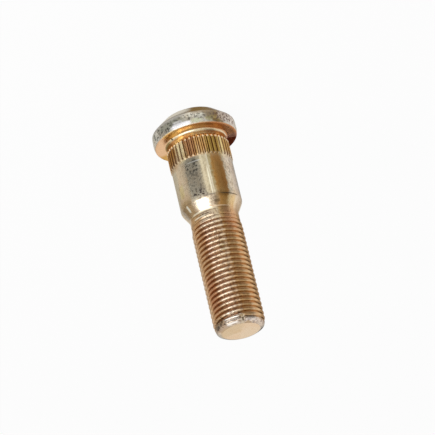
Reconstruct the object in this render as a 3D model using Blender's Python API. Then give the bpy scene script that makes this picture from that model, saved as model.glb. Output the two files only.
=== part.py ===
"""Wheel stud: a forged head, a straight press-in knurl, a plain shank, a tapered step and a rolled thread.

The stud is one piece of steel. It stands on the flat top of its head, with its axis on +Z and the
thread's end face upwards. The origin is the middle of the head's top. The seat is the head's flat
underside, which is pulled up against the back of the hub.
"""

import math

import bmesh
import bpy
from mathutils import Matrix, Vector

MM = 0.001

# Head
HEAD_DIAMETER = 21.3 * MM
HEAD_HEIGHT = 6.3 * MM
HEAD_TOP_DIAMETER = 14.4 * MM
HEAD_TOP_ROUND = 0.6 * MM
RIM_HEIGHT = 3.3 * MM
RIM_LEAN = 0.05 * MM
RIM_TOP_ROUND = 0.35 * MM
RIM_BELLY_HEIGHT = 1.05 * MM
RIM_BELLY_ROUND = 2.4 * MM
SEAT_EDGE_INSET = 0.25 * MM
SEAT_EDGE_ROUND = 0.2 * MM
SEAT_FILLET = 0.6 * MM

# Straight knurl, which bites into the hub's bore
KNURL_NECK_LENGTH = 1.5 * MM
KNURL_LENGTH = 5.8 * MM
KNURL_DIAMETER = 15.84 * MM
KNURL_DEPTH = 0.42 * MM
KNURL_TEETH = 42
KNURL_END_CHAMFER = 0.45 * MM
TOOTH_AZIMUTH = math.radians(-88.0)

# Plain shank and its tapered step
SHANK_DIAMETER = 15.44 * MM
SEAT_TO_SHOULDER = 18.5 * MM
SHOULDER_ROUND = 1.6 * MM
TAPER_LENGTH = 2.85 * MM
TAPER_FOOT_FILLET = 0.9 * MM
NECK_DIAMETER = 12.22 * MM
NECK_LENGTH = 0.6 * MM

# Thread: half an inch across, 20 to the inch, right-hand, rolled. The angle is the one between two flanks
THREAD_DIAMETER = 12.7 * MM
THREAD_PITCH = 1.27 * MM
THREAD_ANGLE = math.radians(60.0)
CREST_FLAT = THREAD_PITCH / 8
ROOT_FLAT = THREAD_PITCH / 6
ROOT_RUN_IN = 2.6 * MM
CREST_RUN_IN_DELAY = 2.1 * MM
CREST_RUN_IN = 1.3 * MM
GROOVE_END_AZIMUTH = math.radians(-100.0)
GROOVE_END_FROM_TIP = 1.2 * MM

# Tip: the crest leans in over the lead, then a chamfer ends at the flat face
SEAT_TO_END_FACE = 52.3 * MM
TIP_LEAD_LENGTH = 1.6 * MM
TIP_LEAD_DROP = 0.46 * MM
TIP_CHAMFER_LENGTH = 0.72 * MM
END_FACE_DIAMETER = 9.96 * MM

# Facets
BODY_SEGMENTS = 60
THREAD_SEGMENTS = 36
FACETS_PER_TOOTH = 3
ARC_STEPS = 3
BLEND_BAND = 0.25 * MM
MERGE_DISTANCE = 0.0005 * MM
SHARP_ANGLE = math.radians(35.0)

# Yellow zinc plating
ZINC_COLOUR = (0.60, 0.41, 0.20, 1.0)
ZINC_ROUGHNESS = 0.3

# Heights above the head's top, and the height that one flank of the thread takes up
SEAT = HEAD_HEIGHT
KNURL_START = SEAT + KNURL_NECK_LENGTH
KNURL_END = KNURL_START + KNURL_LENGTH
SHOULDER = SEAT + SEAT_TO_SHOULDER
TAPER_FOOT = SHOULDER + TAPER_LENGTH
THREAD_START = TAPER_FOOT + NECK_LENGTH
CREST_START = THREAD_START + CREST_RUN_IN_DELAY
END_FACE = SEAT + SEAT_TO_END_FACE
THREAD_END = END_FACE - TIP_CHAMFER_LENGTH
GROOVE_END = END_FACE - GROOVE_END_FROM_TIP
FLANK_HEIGHT = (THREAD_PITCH - CREST_FLAT - ROOT_FLAT) / 2

# Radii
KNURL_CREST = KNURL_DIAMETER / 2
KNURL_ROOT = KNURL_CREST - KNURL_DEPTH
SHANK = SHANK_DIAMETER / 2
NECK = NECK_DIAMETER / 2
THREAD_CREST = THREAD_DIAMETER / 2
THREAD_ROOT = THREAD_CREST - FLANK_HEIGHT / math.tan(THREAD_ANGLE / 2)


def clear_scene():
    """Removes every object that the open file holds."""
    for item in list(bpy.data.objects):
        bpy.data.objects.remove(item, do_unlink=True)


def share(value, start, length):
    """Gives how far a value has come from a start over a length, from 0 to 1."""
    return min(max((value - start) / length, 0.0), 1.0)


def rounded_outline(corners):
    """Gives the outline through (radius, height, rounding) corners, with an arc at each inner corner.

    An arc takes up at most half of the shorter side beside it.
    """
    points = [Vector((radius, height)) for radius, height, _ in corners]
    outline = [points[0]]
    for before, corner, after, (_, _, rounding) in zip(points, points[1:], points[2:], corners[1:]):
        backward = before - corner
        forward = after - corner
        half_angle = backward.angle(forward) / 2
        room = min(backward.length, forward.length) / 2
        tangent = min(rounding / math.tan(half_angle), room)
        inward = (backward.normalized() + forward.normalized()).normalized()
        centre = corner + inward * tangent / math.cos(half_angle)
        first = corner + backward.normalized() * tangent - centre
        last = corner + forward.normalized() * tangent - centre
        swing = -first.angle_signed(last)
        for step in range(ARC_STEPS + 1):
            outline.append(centre + Matrix.Rotation(swing * step / ARC_STEPS, 2) @ first)
    outline.append(points[-1])
    return outline


def sweep(bm, outline, azimuth, turns, segments, lead):
    """Sweeps an outline of radii and heights about the axis, climbing by the lead in each turn."""
    verts = [bm.verts.new((radius * math.cos(azimuth), radius * math.sin(azimuth), height))
             for radius, height in outline]
    edges = [bm.edges.new(pair) for pair in zip(verts, verts[1:])]
    bmesh.ops.spin(bm, geom=verts + edges, cent=(0, 0, 0), axis=(0, 0, 1), dvec=(0, 0, lead / segments),
                   angle=math.tau * turns, steps=segments * turns)
    bmesh.ops.remove_doubles(bm, verts=bm.verts, dist=MERGE_DISTANCE)


def open_ring(bm, height):
    """Gives the open edges that lie at one height."""
    return [edge for edge in bm.edges if edge.is_boundary
            and all(abs(vert.co.z - height) < MERGE_DISTANCE for vert in edge.verts)]


def crest_radius(height):
    """Gives the radius that the thread's crest reaches at a height, from the neck to the tip's chamfer."""
    grown = NECK + (THREAD_CREST - NECK) * share(height, CREST_START, CREST_RUN_IN)
    return grown - TIP_LEAD_DROP * share(height, THREAD_END - TIP_LEAD_LENGTH, TIP_LEAD_LENGTH)


def groove_share(vert):
    """Gives how much of its depth the groove has at a vertex: none on the neck or past its last turn."""
    around = (math.atan2(vert.co.y, vert.co.x) - GROOVE_END_AZIMUTH) / math.tau % 1.0
    climbed = (vert.co.z - GROOVE_END) / THREAD_PITCH
    turns_past_end = around + round(climbed - around)
    rolled_out = share(-turns_past_end, 0, 1 / THREAD_SEGMENTS)
    return rolled_out * share(vert.co.z, THREAD_START, ROOT_RUN_IN)


def add_thread(bm):
    """Sweeps one pitch of the thread form up a helix, cuts it to length and shapes both its ends."""
    turns_below = math.ceil((GROOVE_END - THREAD_START) / THREAD_PITCH) + 1
    low = GROOVE_END - ROOT_FLAT / 2 - turns_below * THREAD_PITCH
    thread_form = [
        (THREAD_ROOT, low),
        (THREAD_ROOT, low + ROOT_FLAT),
        (THREAD_CREST, low + ROOT_FLAT + FLANK_HEIGHT),
        (THREAD_CREST, low + THREAD_PITCH - FLANK_HEIGHT),
        (THREAD_ROOT, low + THREAD_PITCH),
    ]
    turns_above = math.ceil(GROOVE_END_FROM_TIP / THREAD_PITCH) + 1
    sweep(bm, thread_form, GROOVE_END_AZIMUTH, turns_below + turns_above, THREAD_SEGMENTS, THREAD_PITCH)
    for height in (THREAD_START, CREST_START, THREAD_END - TIP_LEAD_LENGTH, THREAD_END):
        bmesh.ops.bisect_plane(bm, geom=bm.verts[:] + bm.edges[:] + bm.faces[:], dist=MERGE_DISTANCE,
                               plane_co=(0, 0, height), plane_no=(0, 0, 1),
                               clear_inner=height == THREAD_START, clear_outer=height == THREAD_END)
    for vert in bm.verts:
        crest = crest_radius(vert.co.z)
        radius = vert.co.xy.length
        wanted = crest + (min(radius, crest) - crest) * groove_share(vert)
        vert.co.xy *= wanted / radius


def add_shank(bm):
    """Models the plain shank, its rounded shoulder and the taper down to the neck."""
    sweep(bm, rounded_outline([
        (SHANK, KNURL_END + BLEND_BAND, 0),
        (SHANK, SHOULDER, SHOULDER_ROUND),
        (NECK, TAPER_FOOT, TAPER_FOOT_FILLET),
        (NECK, THREAD_START - BLEND_BAND, 0),
    ]), 0, 1, BODY_SEGMENTS, 0)


def add_knurl(bm):
    """Models the straight teeth between the neck and the shank, chamfered at both ends."""
    tooth_angle = math.tau / KNURL_TEETH
    rows = (KNURL_START, KNURL_START + KNURL_END_CHAMFER, KNURL_END - KNURL_END_CHAMFER, KNURL_END)
    sweep(bm, [(KNURL_ROOT, row) for row in rows], TOOTH_AZIMUTH + tooth_angle / 2, 1,
          KNURL_TEETH * FACETS_PER_TOOTH, 0)
    for vert in [vert for vert in bm.verts if vert.co.z < KNURL_END + MERGE_DISTANCE]:
        around = (math.atan2(vert.co.y, vert.co.x) - TOOTH_AZIMUTH) / tooth_angle % 1.0
        on_crest = abs(around - 0.5) > 0.5 / FACETS_PER_TOOTH
        if vert.co.z > KNURL_END - MERGE_DISTANCE:
            vert.co.xy *= SHANK / KNURL_ROOT
        elif on_crest and vert.co.z > KNURL_START + MERGE_DISTANCE:
            vert.co.xy *= KNURL_CREST / KNURL_ROOT


def add_head(bm):
    """Models the head: its coned top, its rim, the flat seat and the fillet down to the knurl's neck."""
    top = HEAD_TOP_DIAMETER / 2
    rim = HEAD_DIAMETER / 2
    sweep(bm, rounded_outline([
        (top - HEAD_TOP_ROUND, 0, 0),
        (top, 0, HEAD_TOP_ROUND),
        (rim - RIM_LEAN, SEAT - RIM_HEIGHT, RIM_TOP_ROUND),
        (rim, SEAT - RIM_BELLY_HEIGHT, RIM_BELLY_ROUND),
        (rim - SEAT_EDGE_INSET, SEAT, SEAT_EDGE_ROUND),
        (KNURL_ROOT, SEAT, SEAT_FILLET),
        (KNURL_ROOT, KNURL_START - BLEND_BAND, 0),
    ]), 0, 1, BODY_SEGMENTS, 0)


def build_stud():
    """Joins the lengths of the stud into one closed mesh, from the thread down to the head."""
    bm = bmesh.new()
    add_thread(bm)
    add_shank(bm)
    add_knurl(bm)
    add_head(bm)
    bmesh.ops.create_circle(bm, cap_ends=True, segments=THREAD_SEGMENTS, radius=END_FACE_DIAMETER / 2,
                            matrix=Matrix.Translation((0, 0, END_FACE)))
    for upper, lower in ((END_FACE, THREAD_END),
                         (THREAD_START, THREAD_START - BLEND_BAND),
                         (KNURL_END + BLEND_BAND, KNURL_END),
                         (KNURL_START, KNURL_START - BLEND_BAND)):
        bmesh.ops.bridge_loops(bm, edges=open_ring(bm, upper) + open_ring(bm, lower))
    bmesh.ops.contextual_create(bm, geom=open_ring(bm, 0))
    bmesh.ops.recalc_face_normals(bm, faces=bm.faces)
    mesh = bpy.data.meshes.new("wheel_stud")
    bm.to_mesh(mesh)
    bm.free()
    return mesh


def zinc_plating():
    """Makes the yellow zinc plating's material."""
    material = bpy.data.materials.new("yellow_zinc")
    material.use_nodes = True
    shader = material.node_tree.nodes["Principled BSDF"]
    shader.inputs["Base Color"].default_value = ZINC_COLOUR
    shader.inputs["Metallic"].default_value = 1.0
    shader.inputs["Roughness"].default_value = ZINC_ROUGHNESS
    return material


def main():
    """Builds the stud in an empty scene."""
    clear_scene()
    mesh = build_stud()
    mesh.materials.append(zinc_plating())
    mesh.shade_smooth()
    mesh.set_sharp_from_angle(angle=SHARP_ANGLE)
    stud = bpy.data.objects.new("wheel_stud", mesh)
    bpy.context.collection.objects.link(stud)


main()
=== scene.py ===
"""Looks of the wheel stud: a fine mesh of the forging in worn yellow zinc, on its head in a white studio."""

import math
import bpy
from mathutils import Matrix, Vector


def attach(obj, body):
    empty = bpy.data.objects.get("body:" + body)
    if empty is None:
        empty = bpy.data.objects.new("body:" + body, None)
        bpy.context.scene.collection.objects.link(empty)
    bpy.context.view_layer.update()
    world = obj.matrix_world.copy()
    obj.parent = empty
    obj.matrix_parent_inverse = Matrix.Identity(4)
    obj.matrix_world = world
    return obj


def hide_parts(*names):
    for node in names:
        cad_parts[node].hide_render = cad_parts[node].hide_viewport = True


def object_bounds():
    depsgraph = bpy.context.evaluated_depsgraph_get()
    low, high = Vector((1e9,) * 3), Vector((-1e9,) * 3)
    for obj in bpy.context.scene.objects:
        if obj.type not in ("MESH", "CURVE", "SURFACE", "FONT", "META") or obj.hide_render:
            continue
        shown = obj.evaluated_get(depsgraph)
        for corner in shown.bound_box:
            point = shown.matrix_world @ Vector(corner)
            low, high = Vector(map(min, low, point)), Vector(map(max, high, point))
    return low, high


bl_info = {
    "name": "Wheel Stud in Yellow Zinc",
    "version": (1, 0, 0),
    "blender": (4, 5, 0),
    "location": "View3D > Sidebar > Wheel Stud",
    "description": "Builds a plated wheel stud and its studio round the packed part",
    "category": "Object",
}

from types import SimpleNamespace

import bmesh
import bpy
from bpy.props import FloatProperty, FloatVectorProperty, IntProperty, PointerProperty
from bpy.types import NodeSocket, Operator, Panel, PropertyGroup
from mathutils import Matrix, Vector

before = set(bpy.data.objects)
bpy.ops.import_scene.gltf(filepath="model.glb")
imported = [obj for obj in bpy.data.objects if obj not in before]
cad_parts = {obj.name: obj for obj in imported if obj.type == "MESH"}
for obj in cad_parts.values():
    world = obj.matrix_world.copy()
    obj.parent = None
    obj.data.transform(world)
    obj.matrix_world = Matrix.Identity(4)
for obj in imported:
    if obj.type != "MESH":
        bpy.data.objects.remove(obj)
CAD_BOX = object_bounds()
STUD_NODE = "wheel_stud"
STUD_PIECE = "plated_stud"

MM = 0.001
MERGE_DISTANCE = 0.0005 * MM
SHARP_ANGLE = math.radians(40.0)
ROUNDING_ERROR = 1e-6
WHITE = (1.0, 1.0, 1.0, 1.0)

# Facets round the fine mesh, and the longest rows along it
ROUND_SEGMENTS = 3
BODY_SEGMENTS = 192
THREAD_SEGMENTS = 120
TOOTH_SEGMENTS = 10
BODY_ROW = 0.4 * MM
KNURL_ROW = 0.2 * MM
THREAD_ROW = 0.25 * MM

# Heights of the narrow bands that join the sections of the mesh
JOIN_BAND = 0.12 * MM
TIP_BAND = 0.06 * MM

# Roundings of the corners
ROOT_ROUND = 0.10 * MM
CREST_ROUND = 0.26 * MM
TIP_SHOULDER_ROUND = 0.5 * MM
END_EDGE_ROUND = 0.5 * MM
FACE_EDGE_ROUND = 0.5 * MM
TOP_EDGE_ROUND = 0.6 * MM
RIM_TOP_ROUND = 0.45 * MM
RIM_BELLY_ROUND = 2.4 * MM
SEAT_EDGE_ROUND = 0.25 * MM

# Shares of a tooth's width that its groove's floor and its land take up
GROOVE_FLOOR = 0.12
TOOTH_LAND = 0.24

# Last groove of the thread: the turns in which it stops, its faint tail's length in turns, and that tail's
# share of the depth
GROOVE_STOP = 1 / 90
GROOVE_TAIL = 0.2
TAIL_DEPTH = 0.45

# Stains, and some painted highlights, reflections and shade, with ragged edges: azimuth and half width
# in degrees, height above the seat and half height in millimetres, softness of the edge, share of the
# colour, colour
STAINS_AND_PAINTED_LIGHT = (
    # Rim
    (-60, 17, -2.2, 0.9, 0.5, 0.80, (0.27, 0.27, 0.21)),
    (-46, 7, -0.8, 0.5, 0.6, 0.60, (0.40, 0.34, 0.26)),
    (-110, 7, -3.0, 0.4, 0.6, 0.60, (0.40, 0.36, 0.27)),
    (-92, 12, -1.6, 0.5, 0.6, 0.60, (0.48, 0.46, 0.38)),
    (-95, 12, -2.7, 0.5, 0.6, 0.70, (0.84, 0.82, 0.70)),
    (-98, 5, -0.9, 0.4, 0.6, 0.70, (0.62, 0.66, 0.46)),
    (-120, 8, -2.3, 0.8, 0.7, 0.85, (0.22, 0.15, 0.07)),
    (-120, 7, -1.0, 0.5, 0.6, 0.70, (0.44, 0.39, 0.16)),
    (-129, 7, -0.5, 0.35, 0.6, 0.80, (0.22, 0.12, 0.03)),
    (-131, 7, -2.0, 1.2, 0.6, 0.60, (0.46, 0.30, 0.11)),
    (-148, 14, -1.9, 1.2, 0.5, 0.70, (0.74, 0.64, 0.58)),
    (-161, 7, -1.0, 1.0, 0.5, 0.50, (0.80, 0.74, 0.68)),
    # Fillet, neck and the foot of the knurl
    (-118, 22, 0.3, 0.35, 0.5, 0.70, (0.60, 0.48, 0.28)),
    (-75, 10, 2.0, 0.5, 0.6, 0.50, (0.40, 0.18, 0.06)),
    (-50, 14, 1.0, 0.4, 0.5, 0.90, (1.00, 0.78, 0.46)),
    # Knurl
    # Painted highlight on the teeth where they catch the key light
    (-54, 9, 4.3, 2.8, 0.4, 0.95, (1.00, 0.86, 0.52)),
    (-76, 7, 4.0, 2.4, 0.6, 0.50, (0.50, 0.22, 0.13)),
    (-122, 11, 4.4, 2.0, 0.6, 0.85, (0.44, 0.30, 0.07)),
    # Painted highlight on the teeth
    (-140, 5, 4.6, 2.8, 0.5, 1.00, (1.00, 0.82, 0.40)),
    (-151, 7, 4.6, 2.6, 0.5, 0.70, (0.72, 0.44, 0.15)),
    (-28, 14, 4.4, 2.8, 0.6, 0.80, (0.38, 0.19, 0.05)),
    # Shank
    (-86, 14, 8.3, 0.5, 0.6, 0.75, (0.46, 0.41, 0.28)),
    (-138, 10, 7.5, 0.5, 0.6, 0.50, (0.55, 0.40, 0.20)),
    (-85, 5, 16.7, 1.2, 0.6, 0.60, (0.42, 0.38, 0.30)),
    (-20, 12, 13.0, 5.0, 0.5, 0.60, (0.50, 0.44, 0.33)),
    (-45, 10, 12.5, 5.5, 0.5, 0.60, (0.66, 0.51, 0.34)),
    (-36, 5, 14.8, 1.3, 0.6, 0.50, (0.62, 0.52, 0.22)),
    (-71, 13, 13.0, 5.0, 0.3, 0.70, (0.52, 0.47, 0.37)),
    (-96, 7, 13.0, 5.0, 0.4, 0.60, (0.74, 0.63, 0.41)),
    (-108, 4, 13.0, 5.0, 0.6, 0.75, (0.38, 0.29, 0.12)),
    (-120, 11, 13.0, 5.4, 0.3, 0.95, (0.43, 0.22, 0.06)),
    (-127, 4, 14.5, 3.5, 0.7, 0.60, (0.36, 0.17, 0.05)),
    (-144, 7, 13.0, 5.4, 0.4, 0.80, (0.76, 0.65, 0.52)),
    (-158, 8, 13.0, 5.4, 0.4, 0.80, (0.62, 0.53, 0.45)),
    (-176, 12, 13.0, 5.4, 0.4, 0.80, (0.44, 0.40, 0.36)),
    # Taper, neck and the first turns of the thread
    (-18, 12, 20.2, 1.8, 0.5, 0.60, (0.62, 0.58, 0.50)),
    (-37, 13, 19.6, 1.7, 0.5, 0.80, (0.38, 0.35, 0.22)),
    (-96, 6, 19.8, 1.2, 0.5, 0.70, (0.44, 0.35, 0.28)),
    (-98, 6, 20.7, 0.4, 0.5, 0.70, (0.80, 0.64, 0.50)),
    # Painted reflection: the dark band that the taper mirrors, in this row and the next
    (-109, 7, 20.0, 1.8, 0.5, 0.90, (0.12, 0.07, 0.03)),
    (-119, 10, 20.6, 2.2, 0.3, 0.95, (0.30, 0.13, 0.02)),
    (-137, 9, 20.8, 1.8, 0.5, 0.80, (0.80, 0.60, 0.30)),
    (-160, 10, 20.6, 1.8, 0.5, 0.60, (0.86, 0.78, 0.64)),
    # Painted shade that dims both ends of the taper's highlight, in this row and the next
    (-58, 5, 19.9, 1.0, 0.6, 0.60, (0.46, 0.42, 0.34)),
    (-90, 4, 19.9, 0.8, 0.6, 0.80, (0.42, 0.37, 0.29)),
    (-72, 42, 22.5, 1.0, 0.5, 0.80, (0.50, 0.41, 0.25)),
    (-84, 21, 23.0, 0.8, 0.6, 0.75, (0.32, 0.26, 0.14)),
    # Thread
    # Painted highlight on the thread's crests where they face the key light
    (-77, 13, 37.0, 14.0, 0.5, 0.60, (0.84, 0.71, 0.57)),
    (-102, 8, 36.0, 14.0, 0.6, 0.50, (0.68, 0.53, 0.34)),
    (-117, 10, 36.0, 14.0, 0.6, 0.75, (0.47, 0.27, 0.09)),
    (-56, 8, 29.0, 5.0, 0.7, 0.25, (0.50, 0.24, 0.18)),
    (-16, 10, 37.0, 14.0, 0.5, 0.50, (0.82, 0.64, 0.46)),
    (-38, 16, 36.0, 14.0, 0.6, 0.60, (0.50, 0.26, 0.09)),
    (-42, 10, 43.0, 4.0, 0.6, 0.40, (0.42, 0.14, 0.07)),
    (-146, 12, 37.0, 14.0, 0.5, 0.60, (0.70, 0.44, 0.20)),
    (-134, 14, 24.5, 2.5, 0.6, 0.50, (0.58, 0.30, 0.18)),
    (-167, 12, 37.0, 14.0, 0.5, 0.85, (0.36, 0.21, 0.10)),
    (-92, 10, 31.0, 6.0, 0.8, 0.50, (0.86, 0.72, 0.53)),
    (-94, 5, 31.8, 1.0, 0.7, 0.30, (0.30, 0.28, 0.11)),
    (-65, 10, 24.5, 1.0, 0.6, 0.50, (0.80, 0.68, 0.52)),
    (-69, 7, 40.0, 1.2, 0.6, 0.50, (0.46, 0.30, 0.19)),
    (-64, 7, 47.9, 0.8, 0.6, 0.60, (0.42, 0.26, 0.13)),
    (-77, 6, 49.7, 0.5, 0.6, 0.60, (0.92, 0.82, 0.68)),
    (-99, 6, 50.4, 0.4, 0.6, 0.60, (0.34, 0.26, 0.14)),
    # Last turn of the thread and the tip
    (-36, 18, 50.6, 0.6, 0.6, 0.60, (0.34, 0.26, 0.17)),
    (-74, 13, 51.0, 0.6, 0.5, 0.85, (0.26, 0.23, 0.19)),
    (-31, 10, 51.4, 0.4, 0.6, 0.50, (0.34, 0.28, 0.22)),
    (-64, 5, 51.1, 0.4, 0.6, 0.50, (0.42, 0.38, 0.33)),
    (-158, 16, 52.0, 0.35, 0.5, 0.80, (0.76, 0.69, 0.61)),
    (-124, 16, 51.5, 0.5, 0.4, 0.90, (0.77, 0.69, 0.62)),
)

# Places pitted by corrosion, with the same columns
PITTED = (
    (-46, 25, -2.0, 1.3, 0.4, 0.95, (0.09, 0.09, 0.07)),
    (-92, 22, -2.3, 0.9, 0.6, 0.80, (0.16, 0.15, 0.13)),
    (-71, 15, -1.35, 0.25, 0.5, 0.95, (0.05, 0.05, 0.04)),
    (-143, 20, -2.0, 1.2, 0.5, 0.90, (0.16, 0.10, 0.08)),
    (-71, 10, 9.7, 1.3, 0.6, 0.90, (0.09, 0.08, 0.06)),
    (-73, 11, 14.0, 4.2, 0.6, 0.50, (0.13, 0.12, 0.10)),
    (-78, 11, 17.4, 0.6, 0.6, 0.95, (0.07, 0.06, 0.06)),
    (-94, 6, 12.5, 4.5, 0.6, 0.30, (0.30, 0.24, 0.14)),
    (-148, 12, 10.0, 1.8, 0.6, 0.35, (0.20, 0.17, 0.15)),
    (-140, 5, 14.5, 3.0, 0.6, 0.40, (0.20, 0.16, 0.13)),
    (-80, 26, 37.0, 14.0, 0.6, 0.55, (0.16, 0.08, 0.05)),
    (-55, 34, 50.6, 1.0, 0.5, 0.85, (0.10, 0.07, 0.05)),
    (-140, 30, 51.9, 0.4, 0.5, 0.60, (0.26, 0.20, 0.20)),
)

# Scratches, worn lines, tints, painted highlights and painted shade with clean edges, with the same columns
CLEAN_MARKS = (
    # Cone and rim
    (-111, 16, -4.8, 1.8, 0.4, 0.80, (0.38, 0.29, 0.19)),
    (-148, 16, -4.8, 1.8, 0.4, 0.60, (0.62, 0.53, 0.46)),
    (-45, 39, -4.8, 1.8, 0.3, 1.00, (0.46, 0.43, 0.38)),
    (-45, 38, -5.7, 1.5, 0.4, 1.00, (0.75, 0.71, 0.63)),
    # Painted highlight on the rim's lower belly, in this row and the next
    (-75, 12, -0.64, 0.46, 0.35, 1.00, (1.00, 0.98, 1.00)),
    (-71, 5, -1.4, 0.4, 0.6, 0.50, (0.86, 0.84, 0.84)),
    # Seat and fillet
    (-11, 29, 0.0, 0.14, 0.2, 1.00, (0.76, 0.50, 0.30)),
    (-51, 9, 0.0, 0.14, 0.4, 0.80, (0.80, 0.54, 0.22)),
    (-74, 12, 0.0, 0.14, 0.6, 0.70, (0.52, 0.39, 0.22)),
    (-112, 20, 0.0, 0.14, 0.3, 0.80, (0.56, 0.32, 0.17)),
    (-160, 44, 0.0, 0.14, 0.2, 1.00, (0.55, 0.26, 0.12)),
    (-206, 22, 0.0, 0.14, 0.4, 1.00, (0.17, 0.04, 0.02)),
    (-183, 5, 0.0, 0.14, 0.6, 0.40, (0.80, 0.46, 0.32)),
    (-14, 22, 0.42, 0.28, 0.5, 0.90, (0.42, 0.30, 0.11)),
    (-44, 10, 0.42, 0.28, 0.5, 0.50, (0.95, 0.76, 0.50)),
    (-154, 10, 0.42, 0.28, 0.5, 0.60, (0.66, 0.52, 0.33)),
    (-43, 1.5, 0.20, 0.15, 0.5, 0.90, (0.03, 0.02, 0.01)),
    # Shank
    (-78, 10, 8.60, 0.11, 0.6, 0.80, (0.85, 0.82, 0.74)),
    (-91, 1.6, 12.0, 5.2, 0.7, 0.50, (0.88, 0.76, 0.52)),
    (-98.5, 0.9, 14.6, 2.6, 0.7, 0.80, (1.00, 0.94, 0.72)),
    (-102, 1.0, 12.0, 4.0, 0.8, 0.50, (0.82, 0.76, 0.60)),
    (-133, 16, 18.35, 0.12, 0.5, 0.80, (0.12, 0.08, 0.05)),
    (-91, 8, 18.35, 0.12, 0.6, 0.60, (0.16, 0.13, 0.11)),
    # Taper, its foot and the first turns of the thread
    # Painted glint on the taper
    (-38.5, 2.1, 19.6, 0.60, 0.6, 0.85, (0.88, 0.84, 0.68)),
    (-101, 4.5, 19.25, 0.20, 0.6, 0.30, (0.16, 0.11, 0.06)),
    (-104, 4.5, 19.95, 0.25, 0.6, 0.70, (0.12, 0.08, 0.04)),
    (-101.5, 4, 20.45, 0.20, 0.6, 0.60, (0.25, 0.17, 0.10)),
    (-110, 18, 21.05, 0.08, 0.6, 0.60, (0.92, 0.70, 0.46)),
    # Painted highlight line at the taper's foot
    (-66, 22, 21.35, 0.15, 0.6, 0.90, (0.95, 0.84, 0.62)),
    (-60, 26, 21.75, 0.12, 0.6, 0.50, (0.24, 0.15, 0.07)),
    # Painted highlight line on the neck
    (-56, 13, 22.62, 0.13, 0.6, 0.80, (0.92, 0.82, 0.62)),
    # Last turns of the thread and the tip
    # Painted highlights and painted shade: bright and dark lines for the faint last grooves, to the row at
    # 51.22
    (-78, 16, 50.22, 0.13, 0.6, 0.80, (1.00, 0.90, 0.78)),
    (-76, 15, 50.46, 0.09, 0.6, 0.80, (0.16, 0.10, 0.06)),
    (-75, 13, 50.70, 0.10, 0.6, 0.80, (0.98, 0.90, 0.80)),
    (-76, 14, 50.96, 0.10, 0.6, 0.70, (0.16, 0.12, 0.09)),
    (-74, 12, 51.22, 0.09, 0.6, 0.50, (0.72, 0.67, 0.62)),
    # Painted highlight on the tip's chamfer
    (-73, 11.5, 51.87, 0.11, 0.5, 0.95, (1.00, 0.94, 0.86)),
    # Painted shadow under the ledge of the last groove
    (-122, 15, 50.88, 0.07, 0.6, 0.70, (0.12, 0.08, 0.05)),
    # Painted shade in the notch where the last groove stops
    (-101, 1.5, 51.60, 0.25, 0.5, 0.90, (0.10, 0.07, 0.04)),
    (-104.4, 1.2, 51.10, 0.40, 0.5, 0.80, (0.92, 0.78, 0.58)),
    (-40, 45, 52.30, 0.10, 0.6, 0.35, (0.56, 0.40, 0.20)),
    # Painted shade along the end face's far edge
    (50, 20, 52.22, 0.05, 0.5, 0.80, (0.30, 0.26, 0.22)),
)

# Colours up the stud: a colour, the size at whose height it is full, and the step from there in millimetres
ZONES = (
    ("cone", "rim_start", -0.20),
    ("rim", "rim_start", 0.15),
    ("rim", "head_height", -0.10),
    # The fillet's colour is a painted highlight
    ("fillet", "head_height", 0.10),
    ("fillet", "head_height", 0.50),
    ("neck", "head_height", 0.75),
    ("neck", "knurl_start", 0.0),
    ("knurl", "knurl_start", 0.10),
    ("knurl", "knurl_end", -0.30),
    ("shank", "knurl_end", 0.20),
    ("shank", "shoulder_height", -0.50),
    ("taper", "shoulder_height", 0.50),
    ("taper", "taper_foot", 0.0),
    ("thread", "groove_full", 0.0),
    ("thread", "lead_start", 0.0),
    ("tip", "thread_end", 0.0),
)

# Masks, each bounded by soft edges. An edge has what it measures, the size that it is told from, if any, and
# the steps from there to where the mask is empty and full, in millimetres, degrees or shares of the thread's
# depth
ON_CONE = (("height", "rim_start", 0.10, -0.20),)
ON_RIM = (("height", "rim_start", -0.20, 0.20), ("radius", "rim_radius", -1.04, -0.44))
SEAT_PLANE = (("height", "head_height", -0.08, -0.02), ("height", "head_height", 0.08, 0.03))
ON_SEAT = (*SEAT_PLANE, ("radius", "rim_radius", -0.04, -0.24))
ON_END_FACE = (("height", "full_length", -0.04, -0.01),)
ON_KNURL = (("height", "knurl_start", 0.0, 0.20), ("height", "knurl_end", -0.10, -0.40))
ON_TOOTH_SIDE = (
    *ON_KNURL,
    ("radius", "tooth_radius", -0.02, -0.14),
    ("radius", "tooth_radius", -0.40, -0.28),
)
OFF_TOOTH_FLOOR = ("radius", "tooth_radius", -0.26, -0.12)
ON_FIRST_TOOTH_END = (
    OFF_TOOTH_FLOOR,
    ("height", "knurl_start", 0.20, 0.40),
    ("height", "knurl_start", 1.20, 0.80),
)
ON_LAST_TOOTH_END = (
    OFF_TOOTH_FLOOR,
    ("height", "knurl_end", -0.55, -0.35),
    ("height", "knurl_end", 0.0, -0.15),
)
ON_THREAD = (("height", "groove_full", -1.30, 0.0), ("height", "thread_end", 0.0, -0.60))
ON_CREST = (*ON_THREAD, ("sunk", None, 0.60, 0.15))
IN_GROOVE = (*ON_THREAD, ("sunk", None, 0.35, 0.65))
IN_ROOT = (*ON_THREAD, ("sunk", None, 0.65, 0.98))
# Grooves painted pale to lighten their shade on one side
IN_LIGHTENED_GROOVE = (*IN_GROOVE, ("azimuth", None, -106, -120), ("azimuth", None, -152, -142))
IN_DARK_GROOVE = (*IN_GROOVE, ("azimuth", None, -155, -167))
DARK_ROOT_SIDE = (("azimuth", None, -112, -92),)

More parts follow.
